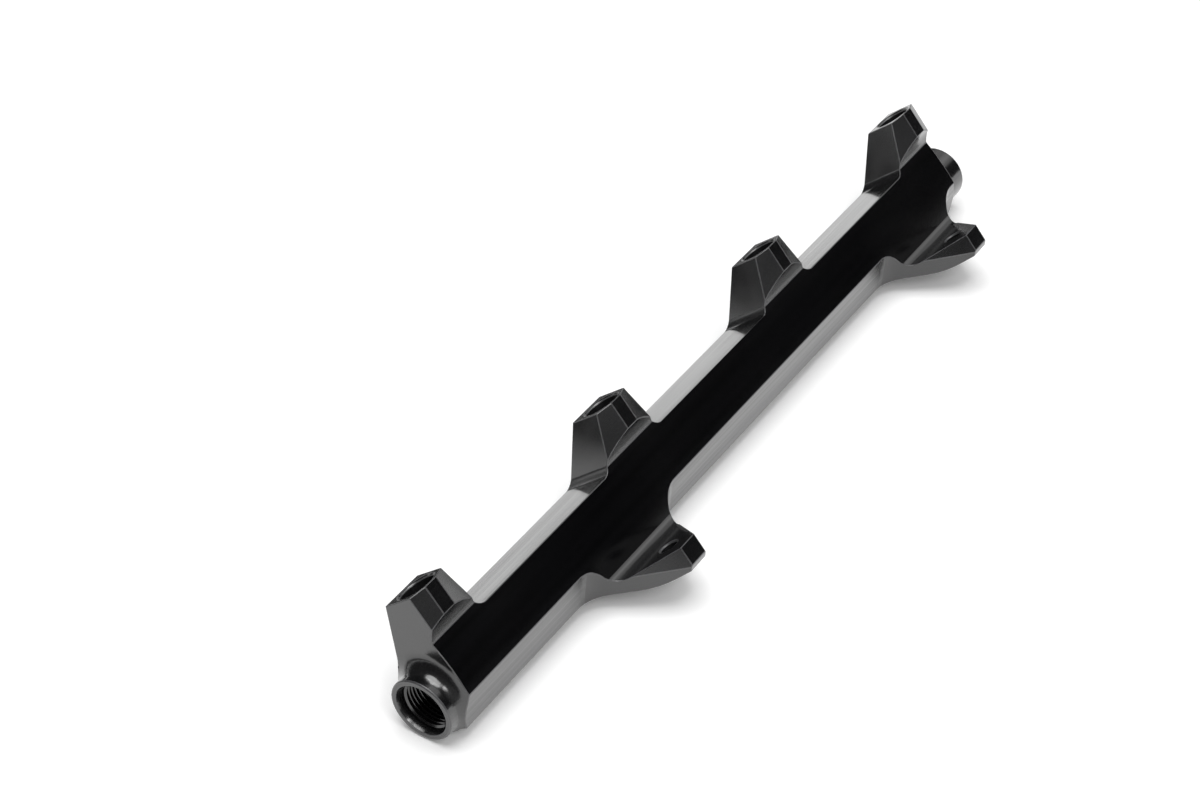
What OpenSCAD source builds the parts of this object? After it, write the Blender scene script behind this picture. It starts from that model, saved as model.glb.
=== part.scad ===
// One-piece fuel rail, milled from a solid extruded bar.
// The bar's section is drawn in its own plane: i runs along the injector axes towards the
// injectors, t runs square to i, and the fuel bore runs along u through i = t = 0.
// Injector bosses are left standing on the +i side and bolt ears on the other side.

/* [Rail] */
// Distance from one injector bore to the next
pitch = 111.76; // [60:0.01:140]
// Number of injector bores
injectors = 4; // [2:1:6]
// End of the bar before the first injector bore
near_margin = 8.8; // [8:0.1:12]
// End of the bar past the last injector bore
far_margin = 9.4; // [8:0.1:14]
// Radius of the round back of the bar, about the fuel bore
tube_r = 13.75; // [12.8:0.05:16]
// Radius of the fuel bore through the whole length
fuel_bore_r = 8; // [5:0.1:8.5]
// Height of the top face's two edges above the fuel bore's axis
top_t = 15.6; // [14.5:0.1:17]
// Radius of the slightly crowned top face
crown_r = 90; // [60:1:300]
// Slope of the bar's lower injector side against the injector axes, in degrees
under_slope = 32.3; // [28:0.1:36]
// Height of the flat land that the rail rests on, below the fuel bore's axis
land_d = 13.1; // [12.6:0.05:13.6]
// Angle of the injector axes above the surface that the rail rests on, in degrees
lean = 49.2; // [45:0.1:54]

/* [Injector bosses] */
// Distance of the boss mouths from the fuel bore's axis
mouth_i = 35.94; // [32:0.01:42]
// Half length of a boss mouth along the rail
mouth_half = 8.75; // [8.2:0.05:11]
// Taper of a boss's two ends, in degrees
boss_taper = 19.8; // [5:0.1:25]
// Distance of the milled wall between the bosses from the fuel bore's axis
wall_i = 15.7; // [13.5:0.1:17]
// Radius of the cutter, left in the corners between boss and wall
boss_root_r = 4.76; // [2:0.01:8]
// Height of a boss's upper facet
facet_t = 22.96; // [21.8:0.01:25]
// Distance at which the upper facet ends and the shoulder starts
facet_i = 24.69; // [22:0.01:28]
// Distance at which the shoulder runs out on the top face
shoulder_i = 18.1; // [17.2:0.1:20]
// Radius of the hollow shoulder
shoulder_r = 20; // [12:0.5:40]
// Half length of a boss's upper facet along the rail
facet_half = 2.97; // [1:0.01:5]
// Slope of the two facets beside the upper one, in degrees
facet_slope = 27.3; // [15:0.1:45]

/* [Injector bores] */
// Height of the injector bores' axes above the fuel bore's axis
bore_t = 14.75; // [13.5:0.05:15.5]
// Radius of an injector bore
bore_r = 6.75; // [5.5:0.05:7.2]
// Depth of an injector bore
bore_depth = 11; // [8:0.5:11]
// Width of the lead-in chamfer at a bore's mouth
lead_in = 0.7; // [0.2:0.1:0.9]
// Radius of the feed drilling from an injector bore to the fuel bore
feed_r = 2; // [1:0.1:2.4]
// Tilt of the feed drilling against the injector axis, in degrees
feed_tilt = 20; // [14:1:24]

/* [Bolt ears] */
// Place of the first ear past the first injector bore
ear_1_u = 88.4; // [50:0.1:100]
// Distance from the first ear to the second
ear_spacing = 222; // [150:0.1:226]
// Distance of an ear's bolting face behind the fuel bore's axis
seat_i = 14.5; // [13:0.1:18]
// Distance of an ear's underside behind the fuel bore's axis
under_i = 24.15; // [20:0.05:28]
// Height of an ear's outer facet above the fuel bore's axis
ear_t = 38.5; // [35:0.1:44]
// Length of the flat pad under an ear, in from the outer facet
pad_l = 14.5; // [10:0.1:17]
// Slope of the underside between the pad and the bar, in degrees
ear_slope = 27.5; // [20:0.1:32]
// Radius of the bend between the pad and the sloping underside
ear_bend_r = 25; // [5:1:30]
// Radius of the hollow corner between the top face and the bolting face
ear_hollow_r = 4.76; // [2:0.01:6]
// Half length of the outer facet along the rail
ear_tip_half = 4.4; // [3:0.1:7]
// Taper of an ear's two upper facets, in degrees
ear_facet_taper = 35.3; // [20:0.1:42]
// Angle of the back wall against the injector axes, in degrees
back_angle = 45; // [40:1:52]
// Half length of an ear at the back wall
ear_root_half = 24.3; // [20:0.1:28]
// Taper of an ear's two milled sides, in degrees
ear_side_taper = 33.8; // [20:0.1:40]
// Distance of an ear's end from the fuel bore's axis, square to the back wall
ear_reach = 42.9; // [40:0.1:44]
// Radius of the corners between ear and back wall
ear_root_r = 12; // [4:0.5:14]
// Distance of the bolt hole's axis in from the outer facet
hole_edge = 10; // [8:0.1:13]
// Radius of the bolt hole
hole_r = 3.5; // [2.5:0.05:4.2]
// Width of the chamfer at the bolt hole's edge
hole_break = 0.4; // [0.1:0.1:0.8]

/* [End ports] */
// Length of the near port's neck past the end of the bar
near_neck_l = 8.3; // [8.2:0.1:16]
// Length of the far port's neck past the end of the bar
far_neck_l = 14.5; // [8.2:0.1:18]
// Radius of a port's neck at its face
neck_r = 12.3; // [11.8:0.05:12.6]
// Radius of the hollow fillet between the neck and the end of the bar
cove_r = 6; // [4:0.1:8.2]
// Radius of the thread's outer diameter
thread_r = 9.525; // [8.7:0.005:9.8]
// Depth of the threaded hole behind its sealing chamfer
thread_l = 12; // [10:0.5:18]
// Radius of the sealing chamfer at the port's face
seal_r = 10.3; // [10:0.05:10.6]
// Depth of the sealing chamfer
seal_depth = 2.5; // [1.5:0.1:3]
// Width of the chamfer round a port's outer edge
port_break = 0.4; // [0.1:0.1:0.8]

/* [Hidden] */
$fn = 96;
overlap = 0.5;
far_away = 60;
anodised_black = "#1b1b1d";

last_bore_u = (injectors - 1) * pitch;
near_end_u = -near_margin;
far_end_u = last_bore_u + far_margin;
near_face_u = near_end_u - near_neck_l;
far_face_u = far_end_u + far_neck_l;
rail_middle_u = (near_end_u + far_end_u) / 2;
ear_stations = [ear_1_u, ear_1_u + ear_spacing];
bore_stations = [for (n = [0 : injectors - 1]) n * pitch];

// The lower injector side touches the round back and slopes up to the mouths.
under_side_t = mouth_i * tan(under_slope) - tube_r / cos(under_slope);
// The top face ends where the hollow corner under the bolting face is at its lowest.
ear_crease_i = -seat_i + ear_hollow_r;
crown_middle_i = (shoulder_i + ear_crease_i) / 2;
crown_half = (shoulder_i - ear_crease_i) / 2;
crown_centre_t = top_t - sqrt(crown_r * crown_r - crown_half * crown_half);
crown_rise = crown_r + crown_centre_t - top_t;
// The sloping underside leaves the pad's inner end and runs into the round back.
pad_inner_t = ear_t - pad_l;
slope_drop = pad_inner_t + tube_r / 2;
slope_end = [-under_i + slope_drop * tan(ear_slope), pad_inner_t - slope_drop];

function unit(v) = v / norm(v);

// Fills a corner up to a tangent arc, for adding a fillet or for taking a corner off.
module corner_fill(corner, a, b, r) {
    to_a = unit(a - corner);
    to_b = unit(b - corner);
    half = acos(to_a * to_b) / 2;
    centre = corner + unit(to_a + to_b) * r / sin(half);
    run = r / tan(half);
    behind = corner - unit(to_a + to_b) * overlap;
    difference() {
        polygon([behind, corner + to_a * run, centre, corner + to_b * run]);
        translate(centre) circle(r);
    }
}

// The hollow shoulder between a boss's upper facet and the top face.
module shoulder_hollow() {
    crease = [shoulder_i, top_t];
    ridge = [facet_i, facet_t];
    half_chord = norm(ridge - crease) / 2;
    along = unit(ridge - crease);
    out = [-along[1], along[0]];
    centre = (crease + ridge) / 2 + out * sqrt(shoulder_r * shoulder_r - half_chord * half_chord);
    intersection() {
        translate(centre) circle(shoulder_r);
        translate([shoulder_i - overlap, 0]) square(far_away);
    }
}

// The bar's whole section, with the boss on one side and the ear on the other.
module bar_section() {
    core_t = top_t - ear_hollow_r / 2;
    pad_corner = [-under_i, pad_inner_t];
    circle(tube_r);
    difference() {
        polygon([
            [mouth_i, under_side_t],
            [mouth_i, facet_t],
            [facet_i - overlap, facet_t],
            [shoulder_i - overlap, top_t - overlap],
            [0, core_t],
            [-seat_i, core_t],
            [-seat_i, ear_t],
            [-under_i, ear_t],
            pad_corner,
            slope_end,
            [0, 0],
            [tube_r * sin(under_slope), -tube_r * cos(under_slope)]
        ]);
        shoulder_hollow();
        corner_fill(pad_corner, [-under_i, ear_t], slope_end, ear_bend_r);
    }
    crown();
    ear_hollow();
}

// The crowned top face, with its foot sunk in the bar.
module crown() {
    low_t = top_t - ear_hollow_r;
    intersection() {
        translate([crown_middle_i, crown_centre_t]) circle(crown_r);
        translate([-seat_i - overlap, low_t])
            square([seat_i + shoulder_i + 2 * overlap, top_t + crown_rise - low_t]);
    }
}

// The hollow corner between the top face and an ear's bolting face.
module ear_hollow() {
    low_t = top_t - ear_hollow_r;
    middle_t = top_t + ear_hollow_r;
    difference() {
        polygon([
            [-seat_i - overlap, low_t],
            [-seat_i - overlap, middle_t],
            [ear_crease_i, middle_t],
            [ear_crease_i + overlap, low_t]
        ]);
        translate([ear_crease_i, middle_t]) circle(ear_hollow_r);
    }
}

// Places a section drawn as (i, t) so that it is extruded along the rail.
module along_rail(from, length) {
    translate([from, 0, 0]) rotate([90, 0, 90]) linear_extrude(length) children();
}

// Places a plan drawn as (u, t) so that it is extruded along i, from one distance to another.
module along_injector(from, to) {
    translate([0, to, 0]) rotate([90, 0, 0]) linear_extrude(to - from) children();
}

// What the cutter leaves of a boss, seen square to the top face, with rounded roots.
module boss_plan() {
    root_half = mouth_half + (mouth_i - wall_i) * tan(boss_taper);
    polygon([
        [-root_half, wall_i],
        [root_half, wall_i],
        [mouth_half, mouth_i + overlap],
        [-mouth_half, mouth_i + overlap]
    ]);
    translate([-root_half, wall_i - overlap]) square([2 * root_half, overlap]);
    for (side = [-1, 1])
        corner_fill([side * root_half, wall_i], [side * mouth_half, mouth_i],
                    [side * 2 * root_half, wall_i], boss_root_r);
}

// Everything that is milled away between and beside the bosses.
module boss_side_cut() {
    translate([0, 0, -far_away]) linear_extrude(2 * far_away) difference() {
        translate([near_end_u - far_away, wall_i])
            square([far_end_u - near_end_u + 2 * far_away, far_away]);
        for (u = bore_stations) translate([u, 0]) boss_plan();
    }
}

// The two slanted facets beside a boss's upper facet.
module boss_facets() {
    drop = (facet_t - top_t) / tan(facet_slope);
    along_injector(shoulder_i, mouth_i + overlap)
        for (side = [-1, 1])
            polygon([
                [side * facet_half, facet_t],
                [side * (facet_half + drop), top_t],
                [side * far_away / 2, top_t],
                [side * far_away / 2, facet_t + overlap],
                [side * facet_half, facet_t + overlap]
            ]);
}

// What the cutter leaves of an ear, seen along the back wall, with rounded roots.
module ear_plan() {
    end_half = ear_root_half - (ear_reach - tube_r) * tan(ear_side_taper);
    polygon([
        [-ear_root_half, tube_r],
        [ear_root_half, tube_r],
        [end_half, ear_reach],
        [-end_half, ear_reach]
    ]);
    for (side = [-1, 1])
        corner_fill([side * ear_root_half, tube_r], [side * end_half, ear_reach],
                    [side * 2 * ear_root_half, tube_r], ear_root_r);
}

// Everything that is milled away between and beside the ears, down to the back wall.
module ear_side_cut() {
    rotate([90 + back_angle, 0, 0])
        translate([0, 0, -far_away]) linear_extrude(2 * far_away) difference() {
            translate([near_end_u - far_away, tube_r])
                square([far_end_u - near_end_u + 2 * far_away, far_away]);
            for (u = ear_stations) translate([u, 0]) ear_plan();
        }
}

// The two slanted facets beside an ear's outer facet, which run out on the ear's sides.
module ear_facets() {
    low_t = top_t - ear_hollow_r;
    spread = (ear_t - low_t) * tan(ear_facet_taper);
    along_injector(-far_away, -seat_i + ear_hollow_r / 2)
        for (side = [-1, 1])
            polygon([
                [side * ear_tip_half, ear_t],
                [side * (ear_tip_half + spread), low_t],
                [side * far_away, low_t],
                [side * far_away, ear_t + overlap],
                [side * ear_tip_half, ear_t + overlap]
            ]);
}

// The turned end of the bar: a hollow fillet and the port's neck, to the port's face.
module turned_end(neck_l) {
    rotate([0, 90, 0]) rotate_extrude() difference() {
        square([neck_r + cove_r, neck_l]);
        translate([neck_r + cove_r, cove_r]) circle(cove_r);
        translate([neck_r, cove_r]) square([cove_r + overlap, neck_l]);
        translate([neck_r, neck_l]) rotate(45)
            square(port_break * sqrt(2), center = true);
    }
}

// The threaded hole of a port and its sealing chamfer, from the face inwards.
module port_hole() {
    rotate([0, 90, 0]) {
        cylinder(h = seal_depth + thread_l, r = thread_r);
        translate([0, 0, -overlap])
            cylinder(h = seal_depth + overlap, r1 = seal_r + overlap * (seal_r - thread_r) / seal_depth,
                     r2 = thread_r);
    }
}

// An injector bore with its lead-in, and the feed drilling down to the fuel bore.
module injector_bore() {
    floor_i = mouth_i - bore_depth;
    translate([0, mouth_i, bore_t]) rotate([90, 0, 0]) {
        cylinder(h = bore_depth, r = bore_r);
        translate([0, 0, -overlap])
            cylinder(h = lead_in + overlap, r1 = bore_r + lead_in + overlap, r2 = bore_r);
    }
    translate([0, floor_i + overlap, bore_t - bore_r / 2]) rotate([90 + feed_tilt, 0, 0])
        cylinder(h = floor_i, r = feed_r);
}

// A bolt hole through an ear, with its upper edge broken.
module bolt_hole() {
    translate([0, -seat_i + overlap, ear_t - hole_edge]) rotate([90, 0, 0]) {
        cylinder(h = under_i - seat_i + 2 * overlap, r = hole_r);
        cylinder(h = hole_break + overlap, r1 = hole_r + hole_break + overlap, r2 = hole_r);
    }
}

// The bar with all that is milled from it, still in the section's own frame.
module milled_bar() {
    difference() {
        union() {
            along_rail(near_end_u, far_end_u - near_end_u) bar_section();
            intersection() {
                along_rail(far_end_u - overlap, far_neck_l + overlap) bar_section();
                translate([far_end_u, 0, 0]) turned_end(far_neck_l);
            }
            intersection() {
                along_rail(near_end_u - near_neck_l, near_neck_l + overlap) bar_section();
                translate([near_end_u, 0, 0]) mirror([1, 0, 0]) turned_end(near_neck_l);
            }
        }
        boss_side_cut();
        ear_side_cut();
        for (u = bore_stations) translate([u, 0, 0]) {
            boss_facets();
            injector_bore();
        }
        for (u = ear_stations) translate([u, 0, 0]) {
            ear_facets();
            bolt_hole();
        }
        translate([near_face_u - overlap, 0, 0]) rotate([0, 90, 0])
            cylinder(h = far_face_u - near_face_u + 2 * overlap, r = fuel_bore_r);
        translate([near_face_u, 0, 0]) port_hole();
        translate([far_face_u, 0, 0]) mirror([1, 0, 0]) port_hole();
    }
}

// The finished rail, resting on its land with the origin under the middle of the bar.
module rail_body() {
    color(anodised_black) difference() {
        translate([-rail_middle_u, 0, land_d]) rotate([lean, 0, 0]) milled_bar();
        translate([-far_end_u, -far_away, -far_away])
            cube([2 * far_end_u, 2 * far_away, far_away]);
    }
}

rail_body();
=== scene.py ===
"""Dresses the milled fuel rail: edge breaks, port threads, finishes, floor, light and camera."""
import logging
import math
from dataclasses import dataclass, field
from enum import Enum
from typing import Callable

import bpy
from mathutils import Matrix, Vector


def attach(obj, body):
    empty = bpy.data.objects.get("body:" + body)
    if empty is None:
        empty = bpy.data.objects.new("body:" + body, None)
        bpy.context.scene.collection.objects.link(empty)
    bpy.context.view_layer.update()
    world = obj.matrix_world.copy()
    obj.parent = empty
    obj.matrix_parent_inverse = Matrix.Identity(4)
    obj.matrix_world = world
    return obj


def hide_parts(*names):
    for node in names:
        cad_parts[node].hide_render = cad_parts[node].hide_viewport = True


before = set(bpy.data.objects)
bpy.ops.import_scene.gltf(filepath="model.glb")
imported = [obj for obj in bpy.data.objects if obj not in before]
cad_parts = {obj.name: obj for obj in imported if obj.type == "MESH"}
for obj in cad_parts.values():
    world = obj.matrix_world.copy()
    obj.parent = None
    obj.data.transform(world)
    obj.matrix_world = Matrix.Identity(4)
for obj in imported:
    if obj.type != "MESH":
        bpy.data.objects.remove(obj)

LOG = logging.getLogger("fuel_rail")
MM = 0.001
ROOT_BODY = "root"
RAIL_NODE = "rail_body"

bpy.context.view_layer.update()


class Surface(Enum):
    """The kinds of surface on the rail, in the order of the skin's material slots."""

    DRAWN = 0
    MILLED = 1
    FACED = 2
    BORED = 3
    EDGE = 4


@dataclass(frozen=True)
class RailFrame:
    """The rail's own frame: u along the fuel bore, i along the injectors, t square to both.

    Attributes:
        lean: angle of the injector axes above the floor, in degrees.
        land: height of the fuel bore's axis above the floor, in metres.
        first_bore_x: place of the first injector bore, in metres.
    """

    lean: float = 49.2
    land: float = 13.1 * MM
    first_bore_x: float = -167.94 * MM

    def direction(self, i: float, t: float, u: float = 0.0) -> Vector:
        """Turns a direction of the rail's frame into one of the world.

        Args:
            i: part along the injector axes.
            t: part square to the injector axes, away from the floor.
            u: part along the fuel bore.

        Returns:
            The direction in the world.
        """
        angle = math.radians(self.lean)
        return Vector((u, i * math.cos(angle) - t * math.sin(angle),
                       i * math.sin(angle) + t * math.cos(angle)))

    def to_rail(self, point: Vector) -> Vector:
        """Turns a place of the world into (u, i, t).

        Args:
            point: a place in the world, in metres.

        Returns:
            The same place in the rail's frame, in metres.
        """
        angle = math.radians(self.lean)
        y, z = point.y, point.z - self.land
        return Vector((point.x - self.first_bore_x,
                       y * math.cos(angle) + z * math.sin(angle),
                       -y * math.sin(angle) + z * math.cos(angle)))


RAIL = RailFrame()


def deselect_all() -> None:
    """Leaves nothing selected and no object in edit mode."""
    if bpy.context.object is not None and bpy.context.object.mode != "OBJECT":
        bpy.ops.object.mode_set(mode="OBJECT")
    bpy.ops.object.select_all(action="DESELECT")


def make_active(piece: bpy.types.Object) -> None:
    """Selects one object alone and makes it the active one."""
    deselect_all()
    piece.select_set(True)
    bpy.context.view_layer.objects.active = piece


def in_edit_mode(piece: bpy.types.Object, steps: Callable[[], None]) -> None:
    """Runs operators on the whole of a piece in edit mode.

    Args:
        piece: the object to work on.
        steps: a function with no arguments that calls the operators.
    """
    make_active(piece)
    bpy.ops.object.mode_set(mode="EDIT")
    bpy.ops.mesh.select_all(action="SELECT")
    steps()
    bpy.ops.object.mode_set(mode="OBJECT")


def apply_modifier(piece: bpy.types.Object, kind: str, **settings: object) -> None:
    """Adds a modifier, sets it and applies it.

    Args:
        piece: the object to work on.
        kind: the modifier's type, as Blender names it.
        settings: the modifier's values by name.
    """
    make_active(piece)
    bpy.ops.object.modifier_add(type=kind)
    modifier = piece.modifiers[-1]
    for name, value in settings.items():
        setattr(modifier, name, value)
    bpy.ops.object.modifier_apply(modifier=modifier.name)


def colour_inputs(node: bpy.types.Node) -> tuple[bpy.types.NodeSocket, bpy.types.NodeSocket]:
    """Gives a colour Mix node's first and second colour inputs."""
    first, second = (socket for socket in node.inputs if socket.type == "RGBA")
    return first, second


def colour_output(node: bpy.types.Node) -> bpy.types.NodeSocket:
    """Gives a colour Mix node's colour output."""
    return next(socket for socket in node.outputs if socket.type == "RGBA")


class NodeBuilder:
    """Places nodes in a tree from left to right and links them by name."""

    STEP = 180

    def __init__(self, tree: bpy.types.NodeTree) -> None:
        """Starts an empty tree.

        Args:
            tree: the tree to build in.
        """
        self.tree = tree
        self.count = 0
        tree.nodes.clear()

    def add(self, kind: str, inputs: dict | None = None, **settings: object) -> bpy.types.Node:
        """Adds a node, sets its values and links its inputs.

        Args:
            kind: the node's type.
            inputs: for each input's name or number a plain value, or a socket to link.
            settings: the node's own properties by name.

        Returns:
            The new node.
        """
        node = self.tree.nodes.new(kind)
        node.location = (self.count * self.STEP, 0)
        self.count += 1
        for name, value in settings.items():
            setattr(node, name, value)
        for name, value in (inputs or {}).items():
            if isinstance(value, bpy.types.NodeSocket):
                self.tree.links.new(value, node.inputs[name])
            else:
                node.inputs[name].default_value = value
        return node


def new_group(name: str, inputs: dict[str, float], outputs: tuple[str, ...]) -> bpy.types.NodeTree:
    """Makes an empty shader node group with number sockets and a Vector input.

    Args:
        name: the group's name.
        inputs: the number inputs and their defaults.
        outputs: the number outputs.

    Returns:
        The new group.
    """
    group = bpy.data.node_groups.new(name, "ShaderNodeTree")
    group.interface.new_socket("Vector", in_out="INPUT", socket_type="NodeSocketVector")
    for label, value in inputs.items():
        socket = group.interface.new_socket(label, in_out="INPUT", socket_type="NodeSocketFloat")
        socket.default_value = value
    for label in outputs:
        group.interface.new_socket(label, in_out="OUTPUT", socket_type="NodeSocketFloat")
    return group


PATCHES_PER_METRE = (14.0, 60.0, 60.0)


def build_line_group() -> bpy.types.NodeTree:
    """Builds the group for fine lines along the rail, as a drawing die or a cutter leaves them.

    Returns:
        The group, with outputs Lines (0 to 1) and Patches (0 to 1).
    """
    group = new_group("lengthwise_lines", {"Across": 900.0, "Along": 6.0}, ("Lines", "Patches"))
    build = NodeBuilder(group)
    entry = build.add("NodeGroupInput")
    scale = build.add("ShaderNodeCombineXYZ", {0: entry.outputs["Along"],
                                               1: entry.outputs["Across"],
                                               2: entry.outputs["Across"]})
    stretched = build.add("ShaderNodeVectorMath", {0: entry.outputs["Vector"],
                                                   1: scale.outputs[0]}, operation="MULTIPLY")
    lines = build.add("ShaderNodeTexNoise", {"Vector": stretched.outputs[0], "Scale": 1.0,
                                             "Detail": 3.0, "Roughness": 0.6})
    broad = build.add("ShaderNodeVectorMath", {0: entry.outputs["Vector"],
                                               1: PATCHES_PER_METRE},
                      operation="MULTIPLY")
    patches = build.add("ShaderNodeTexNoise", {"Vector": broad.outputs[0], "Scale": 1.0,
                                               "Detail": 2.0, "Roughness": 0.5})
    build.add("NodeGroupOutput", {"Lines": lines.outputs["Fac"],
                                  "Patches": patches.outputs["Fac"]})
    return group


def build_grain_group() -> bpy.types.NodeTree:
    """Builds the group for the fine even grain that the anodising bath's etch leaves.

    Returns:
        The group, with the output Grain (0 to 1).
    """
    group = new_group("etch_grain", {"Size": 2600.0}, ("Grain",))
    build = NodeBuilder(group)
    entry = build.add("NodeGroupInput")
    grain = build.add("ShaderNodeTexNoise", {"Vector": entry.outputs["Vector"],
                                             "Scale": entry.outputs["Size"],
                                             "Detail": 2.0, "Roughness": 0.55})
    build.add("NodeGroupOutput", {"Grain": grain.outputs["Fac"]})
    return group


@dataclass(frozen=True)
class AnodisedFinish:
    """Black anodised aluminium with lines along the rail and an etched grain.

    Attributes:
        name: the material's name.
        dark: the colour where the dye is deepest.
        light: the colour on the lines' crests.
        rough_low: roughness of the smoothest spots.
        rough_high: roughness of the roughest spots.
        line_depth: height of the lines, in metres.
        grain_depth: height of the grain, in metres.
        across: how many lines there are in a metre.
        sheen: weight of the clear seal on the lines' crests.
        ior: refractive index of the oxide layer.
    """

    name: str
    dark: tuple[float, float, float]
    light: tuple[float, float, float]
    rough_low: float
    rough_high: float
    line_depth: float
    grain_depth: float
    across: float
    sheen: float = 0.0
    ior: float = 1.8

    def build(self, lines: bpy.types.NodeTree, grain: bpy.types.NodeTree) -> bpy.types.Material:
        """Builds the material.

        Args:
            lines: the group of lines along the rail.
            grain: the group of etched grain.

        Returns:
            The finished material.
        """
        material = bpy.data.materials.new(self.name)
        material.use_nodes = True
        build = NodeBuilder(material.node_tree)
        where = build.add("ShaderNodeTexCoord")
        line_node = build.add("ShaderNodeGroup", node_tree=lines)
        line_node.inputs["Across"].default_value = self.across
        grain_node = build.add("ShaderNodeGroup", node_tree=grain)
        links = material.node_tree.links
        for node in (line_node, grain_node):
            links.new(where.outputs["Object"], node.inputs["Vector"])
        speckle = build.add("ShaderNodeMath", {0: line_node.outputs["Lines"],
                                               1: grain_node.outputs["Grain"]},
                            operation="MULTIPLY")
        crests = build.add("ShaderNodeMapRange", {"Value": speckle.outputs[0], "From Min": 0.1,
                                                  "From Max": 0.4, "To Min": 0.0, "To Max": 1.0})
        colour = build.add("ShaderNodeMix", {"Factor": crests.outputs["Result"]},
                           data_type="RGBA")
        low, high = colour_inputs(colour)
        low.default_value = (*self.dark, 1.0)
        high.default_value = (*self.light, 1.0)
        rough = build.add("ShaderNodeMapRange", {"Value": line_node.outputs["Patches"],
                                                 "From Min": 0.3, "From Max": 0.7,
                                                 "To Min": self.rough_low,
                                                 "To Max": self.rough_high})
        bump_lines = build.add("ShaderNodeBump", {"Height": line_node.outputs["Lines"],
                                                  "Distance": self.line_depth, "Strength": 1.0})
        bump_grain = build.add("ShaderNodeBump", {"Height": grain_node.outputs["Grain"],
                                                  "Distance": self.grain_depth, "Strength": 1.0,
                                                  "Normal": bump_lines.outputs["Normal"]})
        seal = build.add("ShaderNodeMapRange", {"Value": line_node.outputs["Lines"],
                                                "From Min": 0.2, "From Max": 0.8,
                                                "To Min": 0.0, "To Max": self.sheen})
        shader = build.add("ShaderNodeBsdfPrincipled", {"Base Color": colour_output(colour),
                                                        "Roughness": rough.outputs["Result"],
                                                        "Normal": bump_grain.outputs["Normal"],
                                                        "Coat Weight": seal.outputs["Result"],
                                                        "Metallic": 0.0,
                                                        "IOR": self.ior})
        build.add("ShaderNodeOutputMaterial", {"Surface": shader.outputs["BSDF"]})
        return material


FINISHES = {
    Surface.DRAWN: AnodisedFinish(
        name="drawn_anodised", dark=(0.0004, 0.0004, 0.0006), light=(0.0036, 0.0036, 0.0042),
        rough_low=0.18, rough_high=0.28, line_depth=0.004 * MM, grain_depth=0.0,
        across=420.0, ior=1.4),
    Surface.MILLED: AnodisedFinish(
        name="milled_anodised", dark=(0.003, 0.003, 0.0033), light=(0.01, 0.01, 0.0106),
        rough_low=0.14, rough_high=0.26, line_depth=0.0012 * MM, grain_depth=0.0008 * MM,
        across=1100.0, sheen=0.8),
    Surface.FACED: AnodisedFinish(
        name="faced_anodised", dark=(0.004, 0.004, 0.0044), light=(0.012, 0.012, 0.0126),
        rough_low=0.16, rough_high=0.26, line_depth=0.001 * MM, grain_depth=0.0006 * MM,
        across=1500.0),
    Surface.BORED: AnodisedFinish(
        name="bored_anodised", dark=(0.003, 0.003, 0.0033), light=(0.005, 0.005, 0.0055),
        rough_low=0.14, rough_high=0.2, line_depth=0.001 * MM, grain_depth=0.001 * MM,
        across=1500.0),
    # Painted highlight: the broken edges get a lighter colour than the rest, so every edge shows a
    # light line.
    Surface.EDGE: AnodisedFinish(
        name="broken_edge_painted_highlight", dark=(0.03, 0.03, 0.032), light=(0.07, 0.07, 0.073),
        rough_low=0.3, rough_high=0.4, line_depth=0.001 * MM, grain_depth=0.001 * MM,
        across=1500.0)}


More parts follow.
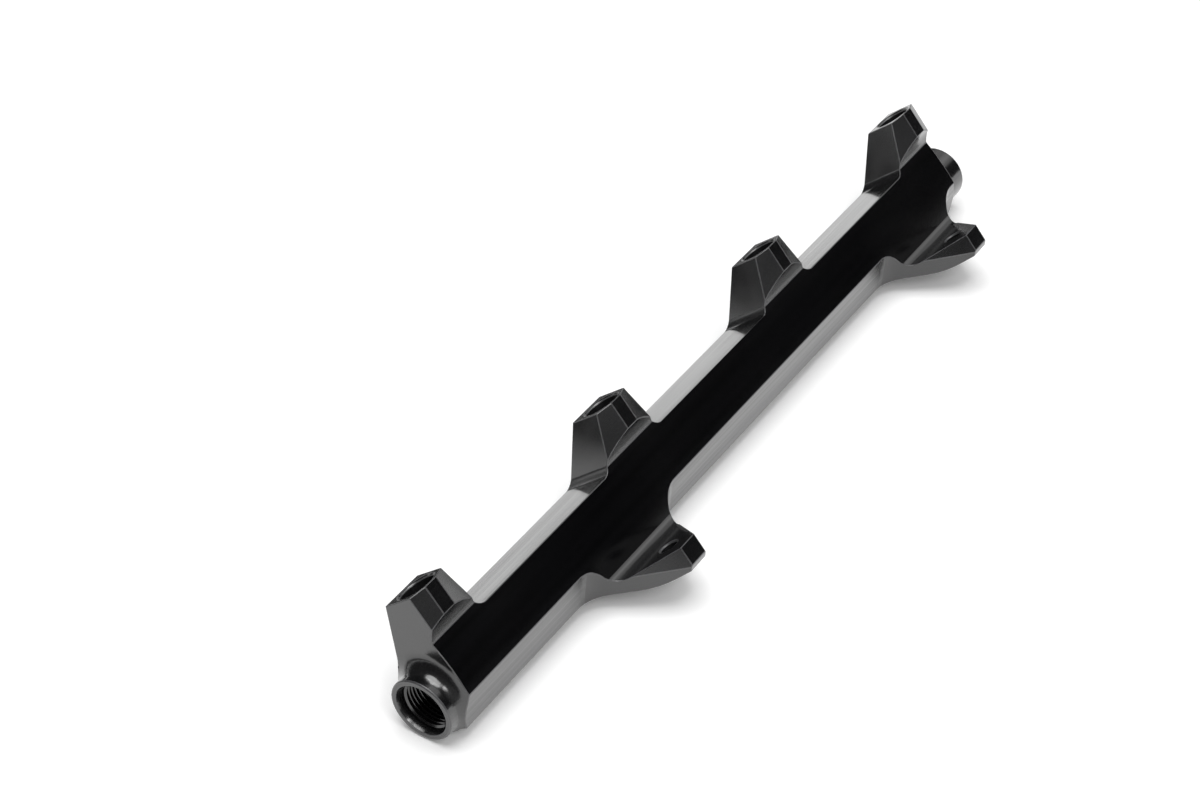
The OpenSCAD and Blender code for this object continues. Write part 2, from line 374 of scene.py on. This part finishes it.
@dataclass
class RailSkin:
    """The visible skin of the rail, a copy of the solid with broken edges.

    Attributes:
        edge_break: width of the broken edges, in metres.
        sharp_angle: edges sharper than this are broken, in degrees.
        flat_angle: faces that differ by less than this are joined, in degrees.
        weld: distance under which loose corners are joined, in metres.
        crown_i: where the crown's arc has its middle along i, in metres.
        crown_t: where the crown's arc has its middle along t, in metres.
        top_t: height of the crowned top above the fuel bore's axis, in metres.
        top_low: how far below top_t the crown may still lie, in metres.
        top_high: how far above top_t the crown may still lie, in metres.
        top_facing: least share of the outward direction in a face of the crown.
        shoulder_i: where the crown ends and the bosses begin along i, in metres.
        port_reach: radius from the fuel bore's axis that counts as inside, in metres.
        port_facing: greatest lengthwise share of direction in a bored wall.
        end_facing: least lengthwise share of direction in a face cut across the bar.
        piece: the skin's object, once it is built.
    """

    edge_break: float = 0.3 * MM
    sharp_angle: float = 20.0
    flat_angle: float = 0.2
    weld: float = 0.02 * MM
    crown_i: float = 4.18 * MM
    crown_t: float = -73.3 * MM
    top_t: float = 15.6 * MM
    top_low: float = 0.3 * MM
    top_high: float = 1.6 * MM
    top_facing: float = 0.95
    shoulder_i: float = 18.1 * MM
    port_reach: float = 9.6 * MM
    port_facing: float = 0.9
    end_facing: float = 0.3
    piece: bpy.types.Object | None = field(default=None)

    def build(self, materials: dict[Surface, bpy.types.Material]) -> None:
        """Copies the solid's mesh, welds it, joins flat faces and breaks the edges.

        Args:
            materials: the finish for each kind of surface.
        """
        source = bpy.data.objects[RAIL_NODE]
        self.piece = source.copy()
        self.piece.data = source.data.copy()
        self.piece.name = "rail_skin"
        bpy.context.collection.objects.link(self.piece)
        self.piece.data.materials.clear()
        for kind in Surface:
            self.piece.data.materials.append(materials[kind])
        in_edit_mode(self.piece, self._join_faces)
        # The bevel's faces take the EDGE slot, whose lighter colour is a painted highlight along
        # the edges.
        apply_modifier(self.piece, "BEVEL", width=self.edge_break, segments=2,
                       limit_method="ANGLE", angle_limit=math.radians(self.sharp_angle),
                       use_clamp_overlap=False, harden_normals=False, miter_outer="MITER_ARC",
                       material=Surface.EDGE.value)
        make_active(self.piece)
        bpy.ops.object.shade_smooth_by_angle(angle=math.radians(self.sharp_angle))
        apply_modifier(self.piece, "WEIGHTED_NORMAL", keep_sharp=True, weight=50,
                       mode="FACE_AREA")
        LOG.info("rail_skin: %d faces", len(self.piece.data.polygons))

    def _join_faces(self) -> None:
        """Welds the loose triangles and joins those that lie in one plane."""
        bpy.ops.mesh.remove_doubles(threshold=self.weld)
        bpy.ops.mesh.dissolve_limited(angle_limit=math.radians(self.flat_angle),
                                      use_dissolve_boundaries=False)

    def _surface_at(self, face: bpy.types.MeshPolygon) -> Surface:
        """Tells what kind of surface a face belongs to.

        Args:
            face: one face of the skin.

        Returns:
            The kind of surface.
        """
        place = RAIL.to_rail(face.center)
        outwards = face.normal.dot(RAIL.direction(0.0, 1.0))
        lengthwise = abs(face.normal.x)
        if (self.top_t - self.top_low < place.z < self.top_t + self.top_high
                and outwards > self.top_facing and place.y < self.shoulder_i):
            return Surface.DRAWN
        if math.hypot(place.y, place.z) < self.port_reach and lengthwise < self.port_facing:
            return Surface.BORED
        return Surface.FACED if lengthwise > self.end_facing else Surface.MILLED

    def _round_the_crown(self) -> None:
        """Gives the crowned top face the exact normals of its arc, so that it shades evenly."""
        mesh = self.piece.data
        normals = [tuple(corner.vector) for corner in mesh.corner_normals]
        for face in mesh.polygons:
            if face.material_index != Surface.DRAWN.value:
                continue
            for loop in face.loop_indices:
                place = RAIL.to_rail(mesh.vertices[mesh.loops[loop].vertex_index].co)
                outwards = RAIL.direction(place.y - self.crown_i, place.z - self.crown_t)
                normals[loop] = tuple(outwards.normalized())
        mesh.normals_split_custom_set(normals)

    def dress(self) -> None:
        """Gives every face its finish and takes the solid's place in the render."""
        for face in self.piece.data.polygons:
            if face.material_index != Surface.EDGE.value:
                face.material_index = self._surface_at(face).value
        self._round_the_crown()
        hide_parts(RAIL_NODE)
        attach(self.piece, ROOT_BODY)


@dataclass
class PortThread:
    """The helical ridges inside a port.

    Attributes:
        name: the piece's name.
        start_x: where the thread starts, in metres.
        length: how far it runs, in metres.
        major_r: radius of the thread's roots, at the hole's wall, in metres.
        minor_r: radius of the thread's crests, in metres.
        lead: distance from one ridge to the next, in metres.
        sink: how deep the ridges' feet lie in the wall, in metres.
        weld: distance under which corners are joined, in metres.
        root_share: half the ridge's width at its foot, as a share of the lead.
        crest_share: half the ridge's width at its crest, as a share of the lead.
        steps: how many straight pieces one turn has.
        smooth_angle: edges flatter than this are shaded smooth, in degrees.
        piece: the ridge's object, once it is built.
    """

    name: str
    start_x: float
    length: float
    major_r: float = 9.525 * MM
    minor_r: float = 8.75 * MM
    lead: float = 1.5875 * MM
    sink: float = 0.05 * MM
    weld: float = 0.001 * MM
    root_share: float = 0.44
    crest_share: float = 0.1
    steps: int = 64
    smooth_angle: float = 40.0
    piece: bpy.types.Object | None = field(default=None)

    def build(self) -> None:
        """Sweeps the ridge's profile along a helix and closes its ends."""
        deselect_all()
        turns = int(self.length / self.lead) - 1
        root = self.root_share * self.lead
        crest = self.crest_share * self.lead
        foot = self.major_r + self.sink
        corners = ((-root, foot), (root, foot), (crest, self.minor_r), (-crest, self.minor_r))
        bpy.ops.mesh.primitive_circle_add(vertices=len(corners), radius=self.lead,
                                          fill_type="NOTHING", location=(0.0, 0.0, 0.0))
        self.piece = bpy.context.object
        self.piece.name = self.name
        for vertex, (along, radius) in zip(self.piece.data.vertices, corners):
            vertex.co = (self.start_x + root + along, 0.0, RAIL.land + radius)
        axis_origin = bpy.data.objects.new("thread_axis", None)
        axis_origin.location = (0.0, 0.0, RAIL.land)
        bpy.context.collection.objects.link(axis_origin)
        apply_modifier(self.piece, "SCREW", axis="X", object=axis_origin, angle=math.tau,
                       iterations=turns, screw_offset=self.lead, steps=self.steps,
                       render_steps=self.steps, use_smooth_shade=True, use_merge_vertices=False)
        bpy.data.objects.remove(axis_origin)
        in_edit_mode(self.piece, self._close)
        make_active(self.piece)
        bpy.ops.object.shade_smooth_by_angle(angle=math.radians(self.smooth_angle))
        LOG.info("%s: %d turns", self.name, turns)

    def _close(self) -> None:
        """Closes both ends of the ridge and turns its faces outwards."""
        bpy.ops.mesh.remove_doubles(threshold=self.weld)
        bpy.ops.mesh.fill_holes(sides=8)
        bpy.ops.mesh.normals_make_consistent(inside=False)

    def dress(self, material: bpy.types.Material) -> None:
        """Gives the ridges the bore's finish.

        Args:
            material: the finish.
        """
        self.piece.data.materials.clear()
        self.piece.data.materials.append(material)
        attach(self.piece, ROOT_BODY)


@dataclass
class Studio:
    """The floor, the lamps, the surroundings and the camera.

    Attributes:
        floor_size: side of the floor, in metres.
        floor_drop: how far the floor lies under the rail, in metres.
        floor_colour: the floor's colour.
        floor_lift: what is added to the floor's brightness where it is seen or mirrored.
        floor_fade: distances from the rail between which this rises to white, in metres.
        painted_reflection_strip: the strip of floor that gets a painted dark reflection, dark in
            mirrored rays only, as of a dark thing beside the rail where there is none: its near
            and far side along Y and its end along X, in metres, with the softness of its rim.
        painted_reflection_colour: the floor's colour in that strip, in mirrored rays only, a
            painted dark reflection.
        sky_base: brightness of the surroundings where they are mirrored.
        sky_fill: what the surroundings give matt surfaces beside that.
        glows: direction of each soft panel, cosines of its outer and inner rim, brightness.
        lamps: each lamp's name, place in metres, width in metres and power in watts.
        camera_place: where the camera stands, in metres.
        camera_turn: the camera's turn about X, Y and Z, in degrees.
        camera_lens: focal length of the camera's lens, in millimetres.
        camera_sensor: width of the camera's sensor, in millimetres.
        camera_clip: nearest and farthest distance that the camera sees, in metres.
    """

    floor_size: float = 14.0
    floor_drop: float = 0.05 * MM
    floor_colour: tuple[float, float, float] = (0.93, 0.93, 0.93)
    floor_lift: float = 0.12
    floor_fade: tuple[float, float] = (0.6, 2.2)
    # Painted reflection: a strip of floor coloured dark in mirrored rays only, with no dark thing
    # there.
    painted_reflection_strip: tuple[float, float, float, float] = (0.085, 0.27, 0.2, 0.02)
    painted_reflection_colour: tuple[float, float, float] = (0.04, 0.04, 0.04)
    sky_base: float = 0.035
    sky_fill: float = 0.2
    glows: tuple[tuple[tuple[float, float, float], float, float, float], ...] = (
        ((0.62, -0.26, 0.74), 0.925, 0.985, 0.85),
        ((0.664, 0.24, 0.70), 0.86, 0.99, 0.55),
        ((-0.34, -0.86, 0.38), 0.7, 0.97, 0.14),
        ((0.5, -0.8, 0.32), 0.8, 0.97, -0.03))
    lamps: tuple[tuple[str, tuple[float, float, float], float, float], ...] = (
        ("key_lamp", (-0.53, -0.93, 1.32), 0.6, 5.0),
        ("top_lamp", (-0.2, 0.1, 2.3), 2.0, 44.0))
    camera_place: tuple[float, float, float] = (-0.623918, -0.355074, 0.606957)
    camera_turn: tuple[float, float, float] = (50.60495, 0.0323, -57.09271)
    camera_lens: float = 73.559
    camera_sensor: float = 36.0
    camera_clip: tuple[float, float] = (0.01, 50.0)

    def build_floor(self) -> None:
        """Adds the plain pale floor."""
        deselect_all()
        bpy.ops.mesh.primitive_plane_add(size=self.floor_size,
                                         location=(0.0, 0.0, -self.floor_drop))
        floor = bpy.context.object
        floor.name = "floor"
        floor.data.materials.append(self._floor_material())
        LOG.info("floor: %.1f m", self.floor_size)

    def _floor_material(self) -> bpy.types.Material:
        """Builds the floor's matt paint, brightened where it is seen or mirrored.

        Returns:
            The finished material.
        """
        material = bpy.data.materials.new("pale_floor")
        material.use_nodes = True
        build = NodeBuilder(material.node_tree)
        where = build.add("ShaderNodeTexCoord")
        path = build.add("ShaderNodeLightPath")
        # Painted dark reflection: this mask darkens the floor's colour in mirrored rays only.
        painted_reflection_mask = self._painted_reflection_part(build, where.outputs["Object"], path.outputs["Is Glossy Ray"])
        colour = build.add("ShaderNodeMix", {"Factor": painted_reflection_mask}, data_type="RGBA")
        pale, dark = colour_inputs(colour)
        pale.default_value = (*self.floor_colour, 1.0)
        dark.default_value = (*self.painted_reflection_colour, 1.0)
        matt = build.add("ShaderNodeBsdfDiffuse", {"Color": colour_output(colour)})
        mirrored = build.add("ShaderNodeMath", {0: path.outputs["Is Glossy Ray"], 1: painted_reflection_mask},
                             operation="SUBTRACT")
        seen = build.add("ShaderNodeMath", {0: path.outputs["Is Camera Ray"],
                                            1: mirrored.outputs[0]}, operation="MAXIMUM")
        away = build.add("ShaderNodeVectorMath", {0: where.outputs["Object"]}, operation="LENGTH")
        fade_start, fade_end = self.floor_fade
        brightness = build.add("ShaderNodeMapRange", {"Value": away.outputs["Value"],
                                                      "From Min": fade_start,
                                                      "From Max": fade_end,
                                                      "To Min": self.floor_lift,
                                                      "To Max": 1.0})
        lift = build.add("ShaderNodeMath", {0: seen.outputs[0], 1: brightness.outputs["Result"]},
                         operation="MULTIPLY")
        glow = build.add("ShaderNodeEmission", {"Strength": lift.outputs[0]})
        both = build.add("ShaderNodeAddShader", {0: matt.outputs["BSDF"],
                                                 1: glow.outputs["Emission"]})
        build.add("ShaderNodeOutputMaterial", {"Surface": both.outputs["Shader"]})
        return material

    def _painted_reflection_part(self, build: NodeBuilder, place: bpy.types.NodeSocket,
                      glossy: bpy.types.NodeSocket) -> bpy.types.NodeSocket:
        """Marks the strip of floor that is mirrored dark.

        Args:
            build: the builder of the floor's material.
            place: the place on the floor.
            glossy: 1 in a mirrored ray, 0 in any other.

        Returns:
            A number that is 1 in the strip's mirror image, which gets the painted dark
            reflection, and 0 elsewhere.
        """
        axes = build.add("ShaderNodeSeparateXYZ", {0: place})
        # The strip's edges, within which the floor gets its painted dark reflection.
        near_y, far_y, end_x, rim = self.painted_reflection_strip
        painted_reflection_mask = glossy
        for axis, start, stop in (("Y", near_y, near_y + rim), ("Y", far_y + rim, far_y),
                                  ("X", end_x + rim, end_x)):
            inside = build.add("ShaderNodeMapRange", {"Value": axes.outputs[axis],
                                                      "From Min": start, "From Max": stop,
                                                      "To Min": 0.0, "To Max": 1.0})
            both_in = build.add("ShaderNodeMath", {0: painted_reflection_mask, 1: inside.outputs["Result"]},
                                operation="MULTIPLY")
            painted_reflection_mask = both_in.outputs[0]
        return painted_reflection_mask

    def build_lamps(self) -> None:
        """Adds the soft lamps, each turned towards the rail."""
        for name, place, width, power in self.lamps:
            deselect_all()
            bpy.ops.object.light_add(type="AREA", location=place)
            lamp = bpy.context.object
            lamp.name = name
            lamp.rotation_euler = (-Vector(place)).to_track_quat("-Z", "Y").to_euler()
            lamp.data.shape = "DISK"
            lamp.data.size = width
            lamp.data.energy = power
            LOG.info("%s: %.1f W", name, power)

    def build_sky(self) -> None:
        """Builds a dark surrounding with a few soft glows, as a studio with pale panels has."""
        world = bpy.data.worlds.new("studio")
        bpy.context.scene.world = world
        world.use_nodes = True
        build = NodeBuilder(world.node_tree)
        where = build.add("ShaderNodeTexCoord")
        total = None
        for towards, outer, inner, strength in self.glows:
            facing = build.add("ShaderNodeVectorMath",
                               {0: where.outputs["Generated"],
                                1: tuple(Vector(towards).normalized())},
                               operation="DOT_PRODUCT")
            share = build.add("ShaderNodeMapRange", {"Value": facing.outputs["Value"],
                                                     "From Min": outer, "From Max": inner,
                                                     "To Min": 0.0, "To Max": strength},
                              interpolation_type="SMOOTHSTEP")
            total = build.add("ShaderNodeMath",
                              {0: self.sky_base if total is None else total.outputs[0],
                               1: share.outputs["Result"]}, operation="ADD")
        path = build.add("ShaderNodeLightPath")
        filled = build.add("ShaderNodeMath", {0: path.outputs["Is Diffuse Ray"],
                                              1: self.sky_fill, 2: total.outputs[0]},
                           operation="MULTIPLY_ADD")
        backdrop = build.add("ShaderNodeMath", {0: path.outputs["Is Camera Ray"],
                                                1: filled.outputs[0]}, operation="MAXIMUM")
        sky = build.add("ShaderNodeBackground", {"Color": backdrop.outputs[0], "Strength": 1.0})
        build.add("ShaderNodeOutputWorld", {"Surface": sky.outputs["Background"]})

    def build_camera(self) -> None:
        """Adds the camera at the photograph's viewing angle."""
        camera = bpy.data.cameras.new("camera")
        camera.sensor_width = self.camera_sensor
        camera.lens = self.camera_lens
        camera.clip_start, camera.clip_end = self.camera_clip
        holder = bpy.data.objects.new("camera", camera)
        holder.location = self.camera_place
        holder.rotation_euler = tuple(math.radians(turn) for turn in self.camera_turn)
        bpy.context.collection.objects.link(holder)
        bpy.context.scene.camera = holder
        bpy.context.scene.view_settings.view_transform = "Standard"


def main() -> None:
    """Builds every piece in order."""
    logging.basicConfig(level=logging.INFO)
    lines, grain = build_line_group(), build_grain_group()
    materials = {kind: finish.build(lines, grain) for kind, finish in FINISHES.items()}
    skin = RailSkin()
    skin.build(materials)
    skin.dress()
    for thread in (PortThread("near_port_thread", -182.6 * MM, 12.0 * MM),
                   PortThread("far_port_thread", 176.8 * MM, 12.0 * MM)):
        thread.build()
        thread.dress(materials[Surface.BORED])
    studio = Studio()
    studio.build_floor()
    studio.build_lamps()
    studio.build_sky()
    studio.build_camera()


if __name__ == "__main__":
    main()
